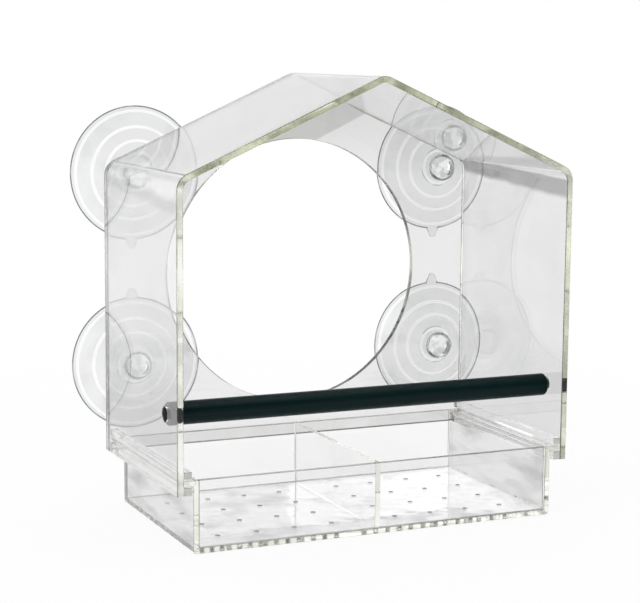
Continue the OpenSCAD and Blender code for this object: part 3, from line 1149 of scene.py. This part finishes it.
@dataclass
class SuctionCup:
    """Moulded vinyl cup with a stepped dish, a neck, a mushroom head and a pull tab."""

    body: str
    centre: Vector
    rim_diameter: float = 64 * MM
    height: float = 6 * MM
    panel: float = 3 * MM
    end_play: float = 0.3 * MM
    neck_diameter: float = 9 * MM
    neck_radii: Span = (0.3 * MM, 0.2 * MM)
    head_diameter: float = 13.5 * MM
    head_length: float = 5.5 * MM
    head_bevel: float = 2.75 * MM
    head_radius: float = 1.6 * MM
    head_base_radius: float = 0.5 * MM
    shoulder_diameter: float = 18 * MM
    shoulder_radius: float = 0.2 * MM
    shoulder_ring: float = 1.4 * MM
    shoulder_shade: float = 0.7 * MM
    step_diameters: Span = (31 * MM, 44 * MM)
    step_height: float = 0.5 * MM
    step_radius: float = 0.6 * MM
    ring_width: float = 0.5 * MM
    # Painted highlight band near the rim, as distances in from the rim.
    rim_highlight: Span = (3.2 * MM, 1.8 * MM)
    rim_shade: float = 0.7 * MM
    rim_edge: float = 0.5 * MM
    rim_radius: float = 0.25 * MM
    rim_thickness: float = 0.8 * MM
    rim_lean: float = 0.45
    back_lean: float = 0.1
    lip_width: float = 1.5 * MM
    dish_thickness: float = 2.6 * MM
    hollow_steps: int = 14
    corner_steps: int = 5
    tab_width: float = 8 * MM
    tab_length: float = 4.5 * MM
    tab_tip_radius: float = 2 * MM
    tab_depth: float = 0.3 * MM
    tab_slack: float = 0.01 * MM
    tab_margin: float = 1.15
    tab_sides: int = 25
    sides: int = 112

    def __post_init__(self) -> None:
        """Turn the tab to the middle of the feeder and find the panel's back."""
        self.rim = self.rim_diameter / 2
        self.shoulder = self.shoulder_diameter / 2
        self.rim_front = self.height - self.rim_thickness
        self.up = -1.0 if self.body.startswith("upper") else 1.0
        self.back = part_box("back_panel")[1].y

    def face_height(self, radius: float) -> float:
        """Height of the dish's front face at a radius, without its steps."""
        rise = self.rim_front - self.end_play
        return self.end_play + rise * (radius - self.shoulder) / (self.rim - self.shoulder)

    def profile(self) -> list[Point]:
        """Radius and height of the cup's rings, from the head round the rim to the hollow's middle."""
        head, neck = self.head_diameter / 2, self.neck_diameter / 2
        base = -self.panel - self.end_play
        front = base - self.head_length
        points = [(0.0, front), (head - self.head_bevel, front), (head, front + self.head_bevel)]
        points += [(head, base), (neck, base), (neck, self.end_play)]
        points.append((self.shoulder - self.shoulder_ring, self.end_play))
        radii = [0.0, self.head_radius, self.head_radius, self.head_base_radius, *self.neck_radii, 0.0]
        knots = [(self.shoulder, self.end_play)]
        for diameter in self.step_diameters:
            for half in (-self.step_height / 2, self.step_height / 2):
                knots.append((diameter / 2 + half, self.face_height(diameter / 2) + half))
        knots.append((self.rim, self.rim_front))
        points += [knots[0], toward(knots[0], knots[1], self.shoulder_shade)]
        radii += [self.shoulder_radius, 0.0]
        for inner, low, high, outer in (knots[0:4], knots[2:6]):
            points += [toward(low, inner, self.ring_width), low, high, toward(high, outer, self.ring_width)]
            radii += [0.0, self.step_radius, self.step_radius, 0.0]
        hollow = self.rim - self.lip_width
        points += [toward(knots[-1], knots[-2], distance) for distance in self.rim_highlight]
        points += [knots[-1], (self.rim, self.height)]
        points += [(self.rim - self.rim_shade, self.height), (hollow, self.height)]
        radii += [0.0, 0.0, self.rim_radius, self.rim_radius, 0.0, 0.0]
        rings = fillet(points, radii, self.corner_steps, closed=False)
        depth = self.height - self.end_play - self.dish_thickness
        for k in range(1, self.hollow_steps + 1):
            share = 1 - k / self.hollow_steps
            rings.append((hollow * share, self.height - depth * (1 - share * share)))
        return rings

    def tab_reach(self, angle: float) -> float:
        """Distance of the pull tab's outline from the cup's axis, at an angle from the tab's middle."""
        side_on, along = abs(math.sin(angle)), math.cos(angle)
        root_x = self.tab_width / 2
        root_z = math.sqrt(self.rim ** 2 - root_x ** 2) - self.lip_width
        if along * self.rim < root_z:
            return self.rim
        tip = self.rim + self.tab_length - self.tab_tip_radius
        run_x, run_z = self.tab_tip_radius - root_x, tip - root_z
        side = (root_x * run_z - root_z * run_x) / (side_on * run_z - along * run_x)
        chord = self.tab_tip_radius ** 2 - (tip * side_on) ** 2
        rounded = tip * along + math.sqrt(chord) if chord > 0 else 0.0
        return max(self.rim, rounded, side if side * along <= tip else 0.0)

    def angles(self) -> list[float]:
        """Angles of the cup's rings, closer together at the tab, which lies at zero."""
        half = self.tab_margin * math.asin(self.tab_width / self.rim_diameter)
        near = [half * (2 * k / self.tab_sides - 1) for k in range(self.tab_sides + 1)]
        rest = 2 * math.pi - 2 * half
        return near + [half + rest * k / self.sides for k in range(1, self.sides)]

    def place(self, radius: float, angle: float, height: float) -> Vector:
        """A point at a radius and an angle about the cup's axis, and a height from the panel's back."""
        x = self.centre.x + radius * math.sin(angle)
        return Vector((x, self.back + height, self.centre.z + self.up * radius * math.cos(angle)))

    def reach(self, angle: float, radius: float, height: float) -> float:
        """Radius of a ring's point, drawn out to the tab at the rim."""
        if radius < self.rim - self.tab_depth or height < self.rim_front - self.tab_slack:
            return radius
        return self.tab_reach(angle) - (self.rim - radius)

    def highlight_bands(self) -> list[Span]:
        """Inner and outer radius of the painted highlight rings on the dish's front face."""
        half = self.step_height / 2 + self.ring_width
        bands = [(diameter / 2 - half, diameter / 2 + half) for diameter in self.step_diameters]
        bands.append((self.shoulder - self.shoulder_ring, self.shoulder))
        bands.append((self.rim - self.rim_highlight[0], self.rim - self.rim_highlight[1]))
        return bands

    def zone(self, normal: Vector, middle: Vector) -> Finish:
        """Finish of a face of the cup."""
        out = Vector((middle.x - self.centre.x, 0.0, middle.z - self.centre.z))
        # Head and neck, in front of the panel, take painted shade.
        if middle.y < self.back:
            return Finish.CUP_HEAD
        # Painted shade: a band of the hollow just inside the rim, and the rim's outward faces, are dark.
        if normal.y > self.back_lean:
            return Finish.CUP_RIM if self.rim - self.rim_shade < out.length < self.rim else Finish.CUP_HOLLOW
        if out.length > self.rim - self.rim_edge and normal.dot(out.normalized()) > self.rim_lean:
            return Finish.CUP_RIM
        # Painted shade: a dark ring just beyond the shoulder.
        if 0.0 < out.length - self.shoulder < self.shoulder_shade:
            return Finish.CUP_HEAD
        # The bright bands are painted highlights.
        bright = any(low < out.length < high for low, high in self.highlight_bands())
        return Finish.CUP_RING if bright else Finish.CUP_VINYL

    def build(self) -> None:
        """Build the cup."""
        raw = turned(self.profile(), self.angles(), self.place, self.reach)
        node = "cup_" + self.body.removesuffix("_cup")
        piece(raw, self.zone, "vinyl_" + node, self.body, node)


def suction_cups() -> list[SuctionCup]:
    """The cups, one for each joint that turns one."""
    return [SuctionCup(joint["child"], Vector(joint["pos_m"])) for joint in cup_joints()]


# The studio

WHITE = (1.0, 1.0, 1.0, 1.0)


def direction(azimuth: float, elevation: float) -> Place:
    """The way to an azimuth from +Y and an elevation, in degrees."""
    turn, rise = math.radians(azimuth), math.radians(elevation)
    return math.sin(turn) * math.cos(rise), math.cos(turn) * math.cos(rise), math.sin(rise)


@dataclass(frozen=True)
class Card:
    """Round white card in the surroundings, with a soft edge; angles in degrees."""

    azimuth: float
    elevation: float
    inner: float
    outer: float
    strength: float

    def glow(self, graph: ShaderGraph, way: Socket) -> Number:
        """Light that the card adds along a direction."""
        near = Number(graph, graph.vector("DOT_PRODUCT", way, direction(self.azimuth, self.elevation)))
        edge = (math.cos(math.radians(angle)) for angle in (self.outer, self.inner))
        return near.eased(*edge) * self.strength


@dataclass(frozen=True)
class Lamp:
    """Soft box at a place, which faces a point; lengths in metres and power in watts."""

    name: str
    place: Place
    aim: Place
    size: Point
    power: float

    def hang(self) -> None:
        """Hang the lamp."""
        data = bpy.data.lights.new(self.name, "AREA")
        data.shape = "RECTANGLE"
        data.size, data.size_y = self.size
        data.energy = self.power
        lamp = linked(self.name, data)
        lamp.location = self.place
        lamp.rotation_mode = "QUATERNION"
        lamp.rotation_quaternion = (Vector(self.aim) - Vector(self.place)).to_track_quat("-Z", "Y")


LAMPS = (
    Lamp("key_box", place=(-0.9, -0.7, 1.1), aim=(0.0, -0.05, 0.0), size=(0.5, 0.5), power=4.0),
    Lamp("top_box", place=(0.0, -0.05, 1.6), aim=(0.0, -0.05, 0.0), size=(2.0, 2.0), power=28.0),
    Lamp("back_strip", place=(1.10, 2.00, 0.47), aim=(0.02, -0.06, -0.11), size=(0.44, 0.14), power=0.12),
)
CARDS = (
    Card(azimuth=-22.0, elevation=-6.0, inner=14.0, outer=26.0, strength=0.46),
    Card(azimuth=9.0, elevation=23.0, inner=8.0, outer=17.0, strength=0.12),
)
# Angle from the middle of the white side, in degrees, and strength of the surroundings there
SIDES = ((180.0, 0.10), (100.0, 0.12), (70.0, 0.28), (52.0, 0.6), (44.0, 1.0))


@dataclass
class Studio:
    """Pale floor, white backdrop light, soft boxes and the camera."""

    camera_place: Place = (-0.34805, -0.81290, 0.10439)
    azimuth: float = -24.22
    elevation: float = 8.03
    roll: float = 0.47
    lens: float = 99.97
    clip_start: float = 0.01
    white_azimuth: float = 10.0
    ceiling: float = 0.12
    ceiling_span: Span = (27.0, 45.0)
    ground_span: Span = (9.0, 1.0)
    floor_radius: float = 0.55
    floor_fade: Span = (0.28, 0.539)
    floor_middle: float = -0.05
    floor_gap: float = 0.2 * MM
    floor_sides: int = 96
    floor_grey: float = 0.90
    floor_white: float = 0.94
    bounces: int = 48
    glossy_bounces: int = 24

    def build_world(self) -> None:
        """Light the surroundings: white behind and below, grey at the sides, dark above the front."""
        world = bpy.data.worlds.new("studio")
        bpy.context.scene.world = world
        world.use_nodes = True
        world.node_tree.nodes.clear()
        graph = ShaderGraph(world.node_tree)
        way = graph.node("ShaderNodeTexCoord").outputs["Generated"]
        level = graph.vector("NORMALIZE", graph.vector("MULTIPLY", way, (1.0, 1.0, 0.0)))
        facing = graph.vector("DOT_PRODUCT", level, direction(self.white_azimuth, 0.0))
        stops = [(0.5 + 0.5 * math.cos(math.radians(angle)), value) for angle, value in SIDES]
        light = graph.ramped(Number(graph, facing) * 0.5 + 0.5, stops)
        height = Number(graph, graph.node("ShaderNodeSeparateXYZ", inputs={"Vector": way}).outputs["Z"])
        for span, strength in ((self.ceiling_span, self.ceiling), (self.ground_span, 1.0)):
            share = height.eased(*(math.sin(math.radians(angle)) for angle in span))
            light = light * (1.0 - share) + share * strength
        for card in CARDS:
            light = light + card.glow(graph, way)
        shown = graph.made("ShaderNodeBackground", inputs={"Color": WHITE, "Strength": light})
        graph.node("ShaderNodeOutputWorld", inputs={"Surface": shown})

    def build_floor(self) -> None:
        """Lay a pale round floor that fades out, keeps a soft shadow and is clear from below."""
        raw = bmesh.new()
        bmesh.ops.create_circle(raw, cap_ends=True, segments=self.floor_sides, radius=self.floor_radius)
        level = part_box("tray_body")[0].z - self.floor_gap
        bmesh.ops.translate(raw, verts=raw.verts, vec=(0.0, self.floor_middle, level))
        material, graph = new_material("pale_floor")
        away = graph.vector("SUBTRACT", graph.place(), (0.0, self.floor_middle, level))
        far = Number(graph, graph.vector("LENGTH", away))
        under = Number(graph, graph.node("ShaderNodeNewGeometry").outputs["Backfacing"])
        path = graph.node("ShaderNodeLightPath").outputs
        camera, glossy, through = (
            Number(graph, path[f"Is {kind} Ray"]) for kind in ("Camera", "Glossy", "Transmission")
        )
        pale = graph.made("ShaderNodeMixShader", inputs={
            "Fac": camera.larger(glossy).larger(through) * self.floor_white,
            "Shader": graph.made("ShaderNodeBsdfDiffuse", inputs={"Color": (*grey(self.floor_grey), 1.0)}),
            "Shader_001": graph.made("ShaderNodeEmission", inputs={"Color": WHITE, "Strength": 1.0}),
        })
        faded = graph.made("ShaderNodeMixShader", inputs={
            "Fac": far.eased(*self.floor_fade).larger(under),
            "Shader": pale,
            "Shader_001": graph.made("ShaderNodeBsdfTransparent"),
        })
        graph.node("ShaderNodeOutputMaterial", inputs={"Surface": faded})
        mesh = plain(raw, "floor")
        mesh.materials.append(material)
        linked("floor", mesh)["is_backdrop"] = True

    def build_camera(self) -> None:
        """Place the camera at the photograph's viewing angle."""
        data = bpy.data.cameras.new("camera")
        data.lens = self.lens
        data.clip_start = self.clip_start
        camera = linked("camera", data)
        camera.location = self.camera_place
        camera.rotation_mode = "QUATERNION"
        ahead = Vector(direction(-self.azimuth, -self.elevation))
        roll = Quaternion((0.0, 0.0, 1.0), math.radians(self.roll))
        camera.rotation_quaternion = ahead.to_track_quat("-Z", "Y") @ roll
        bpy.context.scene.camera = camera

    def build(self) -> None:
        """Build the studio."""
        scene = bpy.context.scene
        scene.view_settings.view_transform = "Standard"
        scene.cycles.max_bounces = self.bounces
        scene.cycles.transmission_bounces = self.bounces
        scene.cycles.glossy_bounces = self.glossy_bounces
        self.build_world()
        self.build_floor()
        for lamp in LAMPS:
            lamp.hang()
        self.build_camera()


def write_sizes() -> None:
    """Work out the CAD box and the visual model's box, which are then neither kept nor written."""
    bpy.context.view_layer.update()
    boxes = {"cad": CAD_BOX, "visual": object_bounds()}
    {name: [list(corner) for corner in box] for name, box in boxes.items()}


def main() -> None:
    """Build the feeder and its studio."""
    logging.basicConfig(level=logging.INFO, format="%(name)s: %(message)s")
    Studio().build()
    for assembly in (House(), Tray(), Perch(), *suction_cups()):
        assembly.build()
    write_sizes()


if __name__ == "__main__":
    main()
